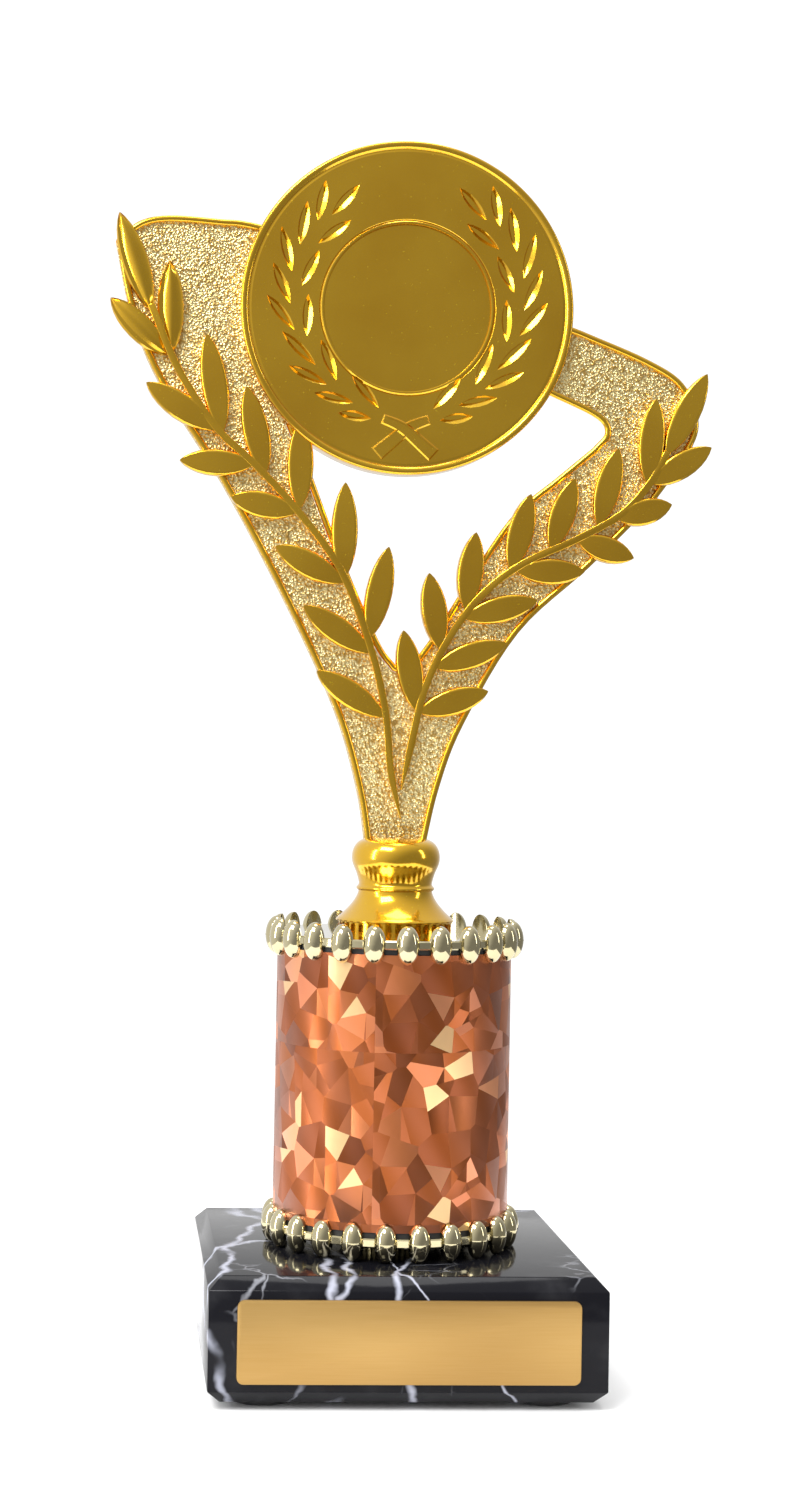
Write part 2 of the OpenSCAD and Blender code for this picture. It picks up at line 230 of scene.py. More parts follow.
def slab(name, outline, back, front, edge=0, segments=3):
    """A flat solid in the figure's plane from its outline, with its front edge rounded."""
    piece = trace(name, [at(x, back, z) for x, z in outline])
    bpy.ops.mesh.edge_face_add()
    bpy.ops.mesh.extrude_region_move(TRANSFORM_OT_translate={"value": at(0, front - back, 0)})
    close_up()
    if edge:
        limit = (front + NEAR) * MM
        pick(piece, "EDGE", lambda e: all(v.co.y < limit for v in e.verts))
        bpy.ops.mesh.bevel(offset=edge * MM, segments=segments, profile=0.5, clamp_overlap=True)
    close_edit()
    return piece


def moulding_along(name, points, radius):
    """A closed round moulding that follows the points."""
    trace(name, points)
    close_edit()
    bpy.ops.object.convert(target="CURVE")
    piece = bpy.context.object
    piece.data.bevel_depth = radius * MM
    piece.data.bevel_resolution = 3
    bpy.ops.object.convert(target="MESH")
    piece = bpy.context.object
    open_edit(piece)
    close_up()
    close_edit()
    return piece


def copied(piece, name, matrix):
    """A copy with its own mesh, moved by the matrix."""
    copy = bpy.data.objects.new(name, piece.data.copy())
    bpy.context.scene.collection.objects.link(copy)
    copy.data.transform(matrix)
    return copy


def joined(name, pieces):
    bpy.ops.object.select_all(action="DESELECT")
    for piece in pieces:
        piece.select_set(True)
    bpy.context.view_layer.objects.active = pieces[0]
    bpy.ops.object.join()
    pieces[0].name = name
    pieces[0].data.name = name
    return pieces[0]


def combine(piece, other, operation="DIFFERENCE", overlaps=False):
    """Cuts or adds the other solid, and leaves only the result."""
    only(piece)
    modifier = piece.modifiers.new("combine", "BOOLEAN")
    modifier.operation = operation
    modifier.solver = "EXACT"
    modifier.use_self = overlaps
    modifier.object = other
    bpy.ops.object.modifier_apply(modifier=modifier.name)
    bpy.data.objects.remove(other)


def seal(piece):
    """Merges doubles and closes any gap that a cut has left."""
    open_edit(piece)
    merge_doubles()
    bpy.ops.mesh.select_all(action="DESELECT")
    bpy.ops.mesh.select_mode(type="EDGE")
    bpy.ops.mesh.select_non_manifold()
    bpy.ops.mesh.fill_holes(sides=0)
    close_edit()


def soften(piece, width, segments=2):
    """Rounds every sharp edge."""
    only(piece)
    modifier = piece.modifiers.new("soften", "BEVEL")
    modifier.width = width * MM
    modifier.segments = segments
    modifier.limit_method = "ANGLE"
    modifier.angle_limit = radians(35)
    bpy.ops.object.modifier_apply(modifier=modifier.name)
    return piece


def round_bar(name, radius, low, high, steps=64):
    """A plain cylinder on the Z axis, used as a cutter."""
    bpy.ops.object.select_all(action="DESELECT")
    bpy.ops.mesh.primitive_cylinder_add(
        vertices=steps, radius=radius * MM, depth=(high - low) * MM, location=at(0, 0, (low + high) / 2))
    bar = bpy.context.object
    bar.name = name
    bpy.ops.object.transform_apply(location=True, rotation=True, scale=True)
    return bar


def block(name, low, high):
    """A box between two corners."""
    bpy.ops.object.select_all(action="DESELECT")
    bpy.ops.mesh.primitive_cube_add(size=1, location=(low + high) / 2 * MM)
    box = bpy.context.object
    box.name = name
    box.scale = (high - low) * MM
    bpy.ops.object.transform_apply(location=True, rotation=True, scale=True)
    return box


def disc_cutter():
    """The medal disc's full round, which the wings and branches stop at."""
    bar = round_bar("disc_cutter", DISC_R, -12, 12, steps=160)
    bar.data.transform(Matrix.Translation(at(DISC_X, 0, DISC_Z)) @ Matrix.Rotation(pi / 2, 4, "X"))
    return bar


def smooth(points, steps):
    """Points of a smooth open curve through all the given points."""
    first = tuple(2 * a - b for a, b in zip(points[0], points[1]))
    last = tuple(2 * a - b for a, b in zip(points[-1], points[-2]))
    chain = [first, *points, last]
    line = []
    for p0, p1, p2, p3 in zip(chain, chain[1:], chain[2:], chain[3:]):
        for k in range(steps):
            t = k / steps
            line.append(tuple(
                0.5 * (2 * b + (c - a) * t + (2 * a - 5 * b + 4 * c - d) * t ** 2
                       + (3 * b - a - 3 * c + d) * t ** 3)
                for a, b, c, d in zip(p0, p1, p2, p3)))
    return line + [points[-1]]


def outline_of(*stretches):
    """One closed outline from stretches that meet at corners."""
    steps = 6
    line = []
    for stretch in stretches:
        line += smooth(stretch, steps)[:-1]
    return line + [stretches[-1][-1]]


def normals_of(line):
    """The direction to the left of travel at each point of a line."""
    found = []
    for i in range(len(line)):
        (x0, z0), (x1, z1) = line[max(i - 1, 0)], line[min(i + 1, len(line) - 1)]
        length = hypot(x1 - x0, z1 - z0)
        found.append((-(z1 - z0) / length, (x1 - x0) / length))
    return found


def band_outline(line, half_widths):
    """Both sides of a band that follows a line."""
    sides = [(x, z, nx * half, nz * half)
             for (x, z), (nx, nz), half in zip(line, normals_of(line), half_widths)]
    right = [(x - dx, z - dz) for x, z, dx, dz in sides]
    left = [(x + dx, z + dz) for x, z, dx, dz in reversed(sides)]
    return right + left


def arc(centre_r, centre_z, radius, start, end, steps=6):
    """Points of an arc in a turned profile, with angles in degrees."""
    angles = [radians(start + (end - start) * i / steps) for i in range(steps + 1)]
    return [(centre_r + radius * cos(a), centre_z + radius * sin(a)) for a in angles]


# ---------------------------------------------------------------- materials


class Value:
    """A shader socket whose arithmetic adds Math nodes."""

    def __init__(self, finish, socket):
        self.finish = finish
        self.socket = socket

    def maths(self, operation, *others):
        return self.finish.node("Math", {"operation": operation}, dict(enumerate((self, *others))))

    def __add__(self, other):
        return self.maths("ADD", other)

    __radd__ = __add__

    def __sub__(self, other):
        return self.maths("SUBTRACT", other)

    def __rsub__(self, other):
        return self.finish.node("Math", {"operation": "SUBTRACT"}, {0: other, 1: self})

    def __mul__(self, other):
        return self.maths("MULTIPLY", other)

    __rmul__ = __mul__

    def __truediv__(self, other):
        return self.maths("DIVIDE", other)

    def other(self, output):
        """Another output of the node that this value comes from."""
        return Value(self.finish, self.socket.node.outputs[output])

    def clear(self, low, high):
        """0 below low, 1 above high, and smooth between."""
        inputs = {0: self, 1: low, 2: high}
        return self.finish.node("MapRange", {"interpolation_type": "SMOOTHSTEP"}, inputs)


class Finish:
    """The nodes of one procedural material, or of the studio's surround."""

    def __init__(self, name, library="materials"):
        self.owner = getattr(bpy.data, library).new(name)
        self.owner.use_nodes = True
        self.tree = self.owner.node_tree
        self.tree.nodes.clear()
        self.place = self.node("TexCoord", output="Object")

    def node(self, kind, settings=None, inputs=None, output=0):
        """Adds a node, sets it up, fills or links its sockets, and gives one of its outputs."""
        made = self.tree.nodes.new("ShaderNode" + kind)
        for key, value in (settings or {}).items():
            if key == "stops":
                ramp = made.color_ramp
                while len(ramp.elements) < len(value):
                    ramp.elements.new(0.5)
                for element, (position, colour) in zip(ramp.elements, value):
                    element.position = position
                    element.color = (*colour, 1)
            else:
                setattr(made, key, value)
        for key, value in (inputs or {}).items():
            if isinstance(value, Value):
                self.tree.links.new(value.socket, made.inputs[key])
            else:
                made.inputs[key].default_value = value
        return Value(self, made.outputs[output]) if made.outputs else None

    def noise(self, scale, detail=2, place=None):
        return self.node("TexNoise", {}, {"Vector": place or self.place, "Scale": scale, "Detail": detail})

    def cells(self, scale, feature="F1", place=None, output="Distance", dimensions="3D"):
        settings = {"feature": feature, "voronoi_dimensions": dimensions}
        return self.node("TexVoronoi", settings, {"Vector": place or self.place, "Scale": scale}, output)

    def mix(self, factor, first, second):
        """Mixes two colours."""
        inputs = {0: factor}
        for key, colour in ((6, first), (7, second)):
            inputs[key] = colour if isinstance(colour, Value) else (*colour, 1)
        return self.node("Mix", {"data_type": "RGBA"}, inputs, 2)

    def vector(self, operation, *others, output=0):
        return self.node("VectorMath", {"operation": operation}, dict(enumerate(others)), output)

    def scaled(self, vector, factor):
        return self.node("VectorMath", {"operation": "SCALE"}, {0: vector, "Scale": factor})

    def split(self, vector):
        """The three numbers of a vector."""
        x = self.node("SeparateXYZ", {}, {0: vector})
        return x, x.other(1), x.other(2)

    def bump(self, height, distance, strength):
        """A bumped normal, from a height in units of the distance, which is in millimetres."""
        return self.node("Bump", {}, {"Height": height, "Distance": distance * MM, "Strength": strength})

    def surface(self, **sockets):
        """The shader itself: sockets named with underscores for spaces."""
        inputs = {key.replace("_", " "): value for key, value in sockets.items()}
        shader = self.node("BsdfPrincipled", {}, inputs)
        self.node("OutputMaterial", {"target": "ALL"}, {"Surface": shader})
        return self.owner


def bright_plating(name, low, high, roughness, wave):
    """Vacuum plated plastic: a mirror with a faint orange peel and a dusting of tiny pits."""
    f = Finish(name)
    clouds = f.noise(60, 3)
    pits = f.noise(2300, 1).clear(0.73, 0.8)
    haze = f.noise(700, 2)
    pit_colour = tuple(min(1, part * 1.5) for part in high)
    colour = f.mix(clouds.clear(0.3, 0.7), low, high)
    colour = f.mix(pits * 0.3, colour, pit_colour)
    rough = roughness + haze * 0.06 + pits * 0.15
    peel = f.noise(240, 2) + pits * 0.2
    return f.surface(Base_Color=colour, Metallic=1.0, Roughness=rough, Coat_Weight=0.6,
                     Coat_Roughness=0.03, Normal=f.bump(peel, wave, 0.5))


def stippled_plating():
    """The wings' field: plated over a coarse sparkling grain, with painted shade in the grain's hollows
    and a pale painted glint colour on its tops.
    """
    f = Finish("stippled_gold")
    grain = f.cells(2900, "F1")
    fine = f.noise(4200, 2)
    height = grain * 0.7 + fine * 0.6
    # Painted light: the hollow mask darkens the grain's hollows as painted shade, and the pale colour on
    # the tops is a painted glint.
    hollow = height.clear(0.45, 0.85)
    colour = f.mix(hollow, (1.0, 0.87, 0.46), (0.62, 0.38, 0.1))
    return f.surface(Base_Color=colour, Metallic=1.0, Roughness=0.2 + fine * 0.2,
                     Normal=f.bump(height, 0.2, 0.85))


def black_marble():
    """Polished black marble with bold white veins and finer grey ones."""
    f = Finish("black_marble")
    drift = f.node("TexNoise", {}, {"Vector": f.place, "Scale": 42, "Detail": 5}, "Color")
    push = f.vector("SUBTRACT", drift, (0.5, 0.5, 0.5))
    bent = f.vector("ADD", f.place, f.scaled(push, 0.02))
    broken = f.noise(85, 2).clear(0.36, 0.54)
    width = 0.4 + f.noise(130, 2)
    # A bold vein is a bent sheet through the block: the way it faces, how far along that it lies, and how
    # far from its middle it fades out.
    sheets = (
        ((1, 0, -0.8), -37.8, 1.3), ((1, 0.15, 0), -15, 0.9), ((1, 0.1, -0.45), -20, 0.9),
        ((1, -0.2, 0.1), 5.5, 1.1), ((1, 0.3, 0.9), 10, 0.6), ((0.6, -1, 0.2), -6.3, 1),
        ((1, 0, 0.7), -22.8, 1.2),
    )
    bold = 0
    for direction, distance, thickness in sheets:
        away = f.vector("DOT_PRODUCT", bent, direction, output=1) - distance * MM
        sheet = 1 - (away.maths("ABSOLUTE") / width).clear(0, thickness * MM)
        bold = sheet.maths("MAXIMUM", bold)
    bold = bold * broken
    thin_line = f.cells(125, "DISTANCE_TO_EDGE", bent)
    thin_mask = f.noise(70, 3).clear(0.52, 0.7)
    thin = (1 - thin_line.clear(0.0, 0.03)) * thin_mask
    cloud = f.noise(150, 6).clear(0.5, 0.9)
    colour = f.mix(cloud * 0.35, (0.006, 0.006, 0.008), (0.06, 0.06, 0.065))
    colour = f.mix(thin * 0.5, colour, (0.35, 0.36, 0.4))
    colour = f.mix(bold * 0.7, colour, (0.5, 0.52, 0.62))
    rough = 0.07 + f.noise(900, 2) * 0.06 + bold * 0.05
    return f.surface(Base_Color=colour, Roughness=rough, IOR=1.48, Specular_IOR_Level=0.14,
                     Normal=f.bump(f.noise(500, 3) + bold * 0.4, 0.02, 0.4))


def satin_plate():
    """Blank gold anodised sheet with a fine brushed grain and a soft sweep of tone."""
    f = Finish("satin_gold_plate")
    sweep = f.node("Mapping", {}, {"Vector": f.place, "Rotation": (0, 0.7, 0), "Scale": (22, 1, 75)})
    tone = f.noise(1, 1, sweep)
    strokes = f.node("Mapping", {}, {"Vector": f.place, "Scale": (120, 1, 5200)})
    grain = f.noise(1, 2, strokes)
    colour = f.mix(tone.clear(0.3, 0.7), (0.33, 0.185, 0.045), (0.47, 0.29, 0.09))
    colour = f.mix(grain * 0.1, colour, (0.9, 0.66, 0.34))
    return f.surface(Base_Color=colour, Metallic=0.75, Roughness=0.36 + grain * 0.08,
                     Normal=f.bump(grain, 0.01, 0.5))


def copper_hologram():
    """Copper film pressed with a cracked ice pattern: each shard has its own lean and its own tint."""
    f = Finish("hologram_foil")
    # The pattern repeats round and up the column. Each cell of it is cut into wedges, the shards.
    tile_width = 44 * MM
    tile_height = 24.5 * MM
    wedges = 5
    lean = 0.5
    x, y, z = f.split(f.place)
    arc_length = x.maths("ARCTAN2", y * -1) * (COLUMN_R * MM)
    across = (arc_length + (4.5 * MM + 2 * tile_width)).maths("MODULO", tile_width)
    up = (z + 0.6 * MM).maths("MODULO", tile_height)
    flat = f.node("CombineXYZ", {}, {0: across, 1: up})
    centre = f.cells(138, place=flat, output="Position", dimensions="2D")
    tone = centre.other("Color")
    from_x, from_y, _ = f.split(f.vector("SUBTRACT", flat, centre))
    spin, _, _ = f.split(tone)
    turn = from_x.maths("ARCTAN2", from_y) * (1 / tau) + spin
    wedge = (turn * wedges).maths("FLOOR") / wedges
    key = f.vector("ADD", tone, f.node("CombineXYZ", {}, {0: wedge, 1: wedge * 3}))
    shard = f.node("TexWhiteNoise", {"noise_dimensions": "3D"}, {"Vector": key}, "Color")
    red, green, blue = f.split(shard)
    normal = f.node("NewGeometry", output="Normal")
    side = f.vector("CROSS_PRODUCT", (0, 0, 1), normal)
    lean_side = f.scaled(side, (red - 0.5) * lean)
    lean_up = f.node("CombineXYZ", {}, {2: (green - 0.5) * lean})
    leaning = f.vector("NORMALIZE", f.vector("ADD", normal, f.vector("ADD", lean_side, lean_up)))
    tint = f.node("ValToRGB", {"stops": [
        (0.0, (0.2, 0.048, 0.011)), (0.25, (0.33, 0.088, 0.022)), (0.75, (0.42, 0.115, 0.033)),
        (0.9, (0.55, 0.18, 0.065)), (0.96, (0.8, 0.28, 0.14)), (0.985, (1.0, 0.66, 0.32))]}, {0: blue})
    # Painted sheen: sine bands across the shards lift the colour towards pale pink, a painted highlight.
    painted_sheen = (across * 900 + up * 500 + red * 9).maths("SINE") * 0.5 + 0.5
    colour = f.mix(painted_sheen * 0.12, tint, (0.9, 0.34, 0.22))
    scuffs = f.noise(1500, 2)
    return f.surface(Base_Color=colour, Metallic=1.0, Roughness=0.3 + scuffs * 0.08, Coat_Weight=0.25,
                     Coat_Roughness=0.15, Normal=leaning)


def black_card():
    """The column's bare tube."""
    f = Finish("black_tube")
    fibre = f.noise(1400, 3)
    colour = f.mix(fibre, (0.006, 0.006, 0.006), (0.025, 0.024, 0.022))
    return f.surface(Base_Color=colour, Roughness=0.5 + fibre * 0.2, Normal=f.bump(fibre, 0.03, 0.4))


def zinc_steel():
    f = Finish("zinc_steel")
    stain = f.noise(320, 3)
    colour = f.mix(stain.clear(0.35, 0.7), (0.5, 0.52, 0.56), (0.74, 0.74, 0.7))
    return f.surface(Base_Color=colour, Metallic=1.0, Roughness=0.22 + stain * 0.2,
                     Normal=f.bump(f.noise(2200, 2), 0.02, 0.3))


def turned_brass():
    f = Finish("brass_insert")
    lines = f.noise(1, 2, f.node("Mapping", {}, {"Vector": f.place, "Scale": (60, 60, 5000)}))
    colour = f.mix(lines, (0.6, 0.4, 0.13), (0.82, 0.62, 0.28))
    return f.surface(Base_Color=colour, Metallic=1.0, Roughness=0.25 + lines * 0.15,
                     Normal=f.bump(lines, 0.02, 0.4))


def foam_tape():
    f = Finish("adhesive")
    pores = f.noise(2400, 3)
    colour = f.mix(pores, (0.62, 0.6, 0.53), (0.82, 0.8, 0.74))
    return f.surface(Base_Color=colour, Roughness=0.8 + pores * 0.1, Normal=f.bump(pores, 0.04, 0.5))


def rubber():
    f = Finish("rubber_feet")
    grain = f.noise(1800, 3)
    colour = f.mix(grain, (0.012, 0.012, 0.012), (0.05, 0.05, 0.052))
    return f.surface(Base_Color=colour, Roughness=0.65 + grain * 0.2, Normal=f.bump(grain, 0.05, 0.5))


GOLD = bright_plating("gold_plating", (0.78, 0.43, 0.015), (0.87, 0.51, 0.025), 0.12, 0.006)
CHAMPAGNE = bright_plating("champagne_plating", (0.54, 0.47, 0.27), (0.62, 0.55, 0.34), 0.05, 0.005)
STIPPLE = stippled_plating()
MARBLE = black_marble()
SATIN = satin_plate()
FOIL = copper_hologram()
BLACK = black_card()
ZINC = zinc_steel()
BRASS = turned_brass()
TAPE = foam_tape()
RUBBER = rubber()

# ---------------------------------------------------------------- finishing a piece


def hand_over(piece, material, slot, *nodes, sharp=32):
    """Smooths a finished piece, paints it, and puts it in the place of its nodes."""
    only(piece)
    bpy.ops.object.shade_smooth_by_angle(angle=radians(sharp))
    piece.data.materials.clear()
    piece.data.materials.append(material)
    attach(piece, "root")
    if nodes:
        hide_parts(*nodes)


def keep_node(name, material):
    """A node whose shape is right keeps its mesh and gets its finish."""
    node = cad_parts[name]
    node.data.materials.clear()
    node.data.materials.append(material)


# ---------------------------------------------------------------- base


def make_marble_block():
    piece = block("marble_block", BASE_LOW, BASE_HIGH)
    open_edit(piece)
    pick(piece, "EDGE", lambda e: abs(e.verts[0].co.z - e.verts[1].co.z) < MM)
    bpy.ops.mesh.bevel(offset=BASE_CHAMFER * MM, segments=1)
    close_edit()
    soften(piece, 0.14)
    top = BASE_HIGH.z + 1
    combine(piece, round_bar("rod_hole", ROD_HOLE_R, 0, top))
    combine(piece, round_bar("counterbore", COUNTERBORE_R, 0, BASE_LOW.z + COUNTERBORE_DEPTH))
    hand_over(piece, MARBLE, "marble", "marble_base", sharp=25)


def make_name_plate():
    piece = block("blank_name_plate", PLATE_LOW, PLATE_HIGH)
    open_edit(piece)
    pick(piece, "EDGE", lambda e: abs(e.verts[0].co.y - e.verts[1].co.y) > 10 * NEAR * MM)
    corner = 1
    bpy.ops.mesh.bevel(offset=corner * MM, segments=6)
    front = (PLATE_LOW.y + NEAR) * MM
    pick(piece, "EDGE", lambda e: all(v.co.y < front for v in e.verts))
    broken_edge = 0.12
    bpy.ops.mesh.bevel(offset=broken_edge * MM, segments=2)
    close_edit()
    hand_over(piece, SATIN, "satin_gold_plate", "name_plate")


def make_feet():
    for node in ("foot_front_left", "foot_front_right", "foot_back_left", "foot_back_right"):
        low, high = span(node)
        radius = (high.x - low.x) / 2
        piece = round_bar(node + "_pad", radius, low.z, high.z, steps=48)
        open_edit(piece)
        pick(piece, "EDGE", lambda e: all(abs(v.co.z) < NEAR * MM for v in e.verts))
        bpy.ops.mesh.bevel(offset=0.3 * MM, segments=3)
        close_edit()
        centre = (low + high) / 2
        piece.data.transform(Matrix.Translation(at(centre.x, centre.y, 0)))
        hand_over(piece, RUBBER, "rubber_feet", node)


def softened_copy(node, name, width):
    """A copy of a plain turned or milled part with its edges broken."""
    piece = copied(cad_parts[node], name, Matrix.Identity(4))
    open_edit(piece)
    merge_doubles()
    bpy.ops.mesh.dissolve_limited(angle_limit=radians(1))
    close_edit()
    return soften(piece, width)


def make_fixings():
    hand_over(softened_copy("base_nut", "hex_nut", 0.25), ZINC, "zinc_steel", "base_nut")
    hand_over(softened_copy("base_washer", "flat_washer", 0.15), ZINC, "zinc_steel", "base_washer")
    hand_over(softened_copy("lock_washer", "split_washer", 0.12), ZINC, "zinc_steel", "lock_washer")
    hand_over(softened_copy("figure_insert", "brass_bush", 0.15), BRASS, "brass_insert", "figure_insert")


def make_threaded_rod():
    """M6 thread: one pitch of its side, wound up the rod and cut square at both ends."""
    pitch = 1
    crest = ROD_HIGH.x
    root = crest - 0.55
    turns = int((ROD_HIGH.z - ROD_LOW.z) / pitch) + 3
    start = ROD_LOW.z - 1.5 * pitch
    side = [(root, 0), (root, 0.12), (crest, 0.44), (crest, 0.56), (root, 0.88), (root, 1)]
    piece = trace("m6_rod", [at(r, 0, start + z * pitch) for r, z in side], closed=False)
    bpy.ops.mesh.screw(steps=20, turns=turns, center=(0, 0, 0), axis=(0, 0, pitch * MM))
    merge_doubles()
    bpy.ops.mesh.select_all(action="SELECT")
    lowest = min(v.co.z for v in bmesh.from_edit_mesh(piece.data).verts)
    bpy.ops.transform.translate(value=(0, 0, start * MM - lowest))
    for height, side_up in ((ROD_LOW.z, False), (ROD_HIGH.z, True)):
        bpy.ops.mesh.select_all(action="SELECT")
        bpy.ops.mesh.bisect(plane_co=at(0, 0, height), plane_no=(0, 0, 1), use_fill=True,
                            clear_outer=side_up, clear_inner=not side_up, threshold=1e-7)
    close_up()
    close_edit()
    hand_over(piece, ZINC, "zinc_steel", "threaded_rod")


# ---------------------------------------------------------------- column


def make_bead():
    """One bead: an egg with a raised parting line round its middle."""
    bpy.ops.object.select_all(action="DESELECT")
    bpy.ops.mesh.primitive_uv_sphere_add(segments=28, ring_count=20, radius=1)
    bead = bpy.context.object
    bead.name = "bead"
    bead.scale = at(BEAD_WIDTH, BEAD_WIDTH, BEAD_HEIGHT) / 2
    bpy.ops.object.transform_apply(location=True, rotation=True, scale=True)
    open_edit(bead)
    pick(bead, "EDGE", lambda e: all(abs(v.co.z) < NEAR * MM for v in e.verts))
    bpy.ops.mesh.bevel(offset=0.07 * MM, segments=1)
    pick(bead, "FACE", lambda f: all(abs(v.co.z) < 0.09 * MM for v in f.verts))
    bpy.ops.mesh.extrude_region_shrink_fatten(TRANSFORM_OT_shrink_fatten={"value": 0.05 * MM})
    close_edit()
    bead.data.transform(Matrix.Translation(at(0, BEAD_WIDTH / 2 - COLUMN_R - BEAD_REACH, 0)))
    return bead


def make_bead_rings():
    """One ring with its spigot up, then the same ring turned over for the top of the column."""
    bead = make_bead()
    pitch = tau / BEAD_COUNT
    beads = [copied(bead, "bead_copy", Matrix.Rotation(pitch * i, 4, "Z")) for i in range(BEAD_COUNT)]
    bpy.data.objects.remove(bead)
    ring = joined("bead_ring", beads)
    half = RING_PLATE / 2
    for low, high in ((half, BEAD_HEIGHT), (-BEAD_HEIGHT, -half)):
        combine(ring, round_bar("column_space", COLUMN_R, low, high, steps=138))
    spigot_out = COLUMN_R - 2.3
    spigot_in = spigot_out - 1.4
    boss = 5.5
    edge = 0.2
    rim = COLUMN_R + 0.5
    body = turned("ring_body", [
        (ROD_HOLE_R, -BEAD_HEIGHT / 2), (boss, -BEAD_HEIGHT / 2), (boss, -half), (rim - edge, -half),
        (rim, edge - half), (rim, half - edge), (rim - edge, half), (spigot_out, half),
        (spigot_out, half + 4), (spigot_in, half + 4), (spigot_in, half), (ROD_HOLE_R, half)], steps=138)
    combine(ring, body, "UNION")
    upper = copied(ring, "upper_ring_of_beads",
                   Matrix.Translation(at(0, 0, UPPER_RING_Z)) @ Matrix.Rotation(pi, 4, "Y"))
    ring.name = "lower_ring_of_beads"
    ring.data.transform(Matrix.Translation(at(0, 0, LOWER_RING_Z)) @ Matrix.Rotation(pitch / 2, 4, "Z"))
    hand_over(ring, CHAMPAGNE, "champagne_plating", "lower_bead_ring")
    hand_over(upper, CHAMPAGNE, "champagne_plating", "upper_bead_ring")


def make_foil_sleeve():
    """The film wrapped round the tube, with its lap at the back."""
    film = 0.2
    face = COLUMN_R - 0.03
    low = FOIL_LOW.z
    high = FOIL_HIGH.z
    sleeve = turned("foil_sleeve", [
        (COLUMN_R - film, low), (face, low), (face, high), (COLUMN_R - film, high)], steps=180)
    lap_angle = radians(14)
    lap = trace("foil_lap", [
        at(r, 0, z) for r, z in ((face, low), (COLUMN_R, low), (COLUMN_R, high), (face, high))])
    bpy.ops.mesh.edge_face_add()
    bpy.ops.mesh.spin(steps=8, angle=lap_angle, center=(0, 0, 0), axis=(0, 0, 1))
    bpy.ops.mesh.select_all(action="SELECT")
    bpy.ops.mesh.normals_make_consistent(inside=False)
    close_edit()
    lap.data.transform(Matrix.Rotation(pi / 2 - lap_angle / 2, 4, "Z"))
    combine(sleeve, lap, "UNION")
    hand_over(sleeve, FOIL, "hologram_foil", "foil_wrap")


def make_riser():
    """A flared foot for the figure, with a fluted skirt."""
    skirt = 8.8
    lip = 0.35
    low = 1.7
    height = RISER_HIGH.z - RISER_LOW.z
    top = 5.5
    hollow = 6.2
    flare = []
    steps = 12
    for i in range(steps + 1):
        t = i / steps
        radius = top + (skirt - top - 0.1) * (1 - t) ** 1.6
        flare.append((radius, low + 0.35 + (height - low - 0.35) * t))
    profile = [(ROD_HOLE_R, height), (ROD_HOLE_R, low + 1.2), (hollow, low + 1.2), (hollow, 0.2),
               (hollow, 0),
               (skirt - lip, 0), (skirt - lip, 0.3), (skirt - lip, low - 0.25), (skirt - lip, low),
               (skirt - 0.1, low), (skirt, low + 0.1), (skirt, low + 0.22)] + flare
    piece = turned("flared_riser", profile, steps=128)
    flutes = 32
    open_edit(piece)

    def in_flute(face):
        centre = face.calc_center_median() / MM
        column = int((atan2(centre.y, centre.x) % tau) / tau * 4 * flutes)
        outward = face.normal.xy.length > 0.9 and hypot(centre.x, centre.y) > 8
        return outward and 0.3 < centre.z < low - 0.25 and column % 4 < 2

    pick(piece, "FACE", in_flute)
    bpy.ops.mesh.inset(thickness=0.06 * MM, depth=-0.4 * MM, use_even_offset=False)
    close_edit()
    piece.data.transform(Matrix.Translation(at(0, 0, RISER_LOW.z)))
    hand_over(piece, GOLD, "gold_plating", "riser")


# ---------------------------------------------------------------- figure


def make_knob():
    """The round foot of the figure, bored for its brass bush."""
    side = smooth(KNOB_SIDE, 3)
    low, high = span("figure_insert")
    bush_r = high.x
    bush_low = low.z - JOINT_Z
    bush_high = high.z - JOINT_Z
    crown = (0, KNOB_SIDE[-1][1])
    piece = turned("figure_knob", [(ROD_HOLE_R, 0)] + side + [
        crown, (0, bush_high), (bush_r, bush_high), (bush_r, bush_low), (ROD_HOLE_R, bush_low)], steps=96)
    piece.data.transform(Matrix.Translation(at(0, 0, JOINT_Z)))
    hand_over(piece, GOLD, "gold_plating", "figure", sharp=40)


def raised(outline):
    """An outline lifted from the figure's plane to its height on the column."""
    return [(x, z + JOINT_Z) for x, z in outline]


def make_wings():
    """The stippled plate of the wings, and the round moulding along its edges."""
    edge = raised(outline_of(OUTER_LEFT, TOP_LEFT, TOP_RIGHT, OUTER_RIGHT))
    gap = raised(outline_of(INNER_LEFT, CROTCH, INNER_RIGHT, INNER_LOOP))
    plate = slab("wing_plate", edge, WING_BACK, FIELD)
    combine(plate, slab("wing_gap", gap, WING_BACK + 2, FIELD - 2))
    combine(plate, disc_cutter())
    hand_over(plate, STIPPLE, "stippled_gold", "figure")
    inset = RIM_WIDTH / 2
    loops = []
    for line, side in ((edge, -1), (gap, 1)):
        points = [at(x + side * nx * inset, FIELD - 0.2, z + side * nz * inset)
                  for (x, z), (nx, nz) in zip(line, normals_of(line))]
        loops.append(moulding_along("moulding", points, inset))
    rim = joined("wing_moulding", loops)
    combine(rim, disc_cutter(), overlaps=True)
    hand_over(rim, GOLD, "gold_plating", "figure", sharp=50)


def leaf_side(length, width, steps):
    """One side of a leaf between two equal arcs: places from foot to tip, with the half width at each."""
    arc_r = (length ** 2 + width ** 2) / (4 * width)
    along = [length * (1 - cos(pi * i / steps)) / 2 for i in range(steps + 1)]
    return [(x, sqrt(arc_r ** 2 - (x - length / 2) ** 2) - arc_r + width / 2) for x in along]


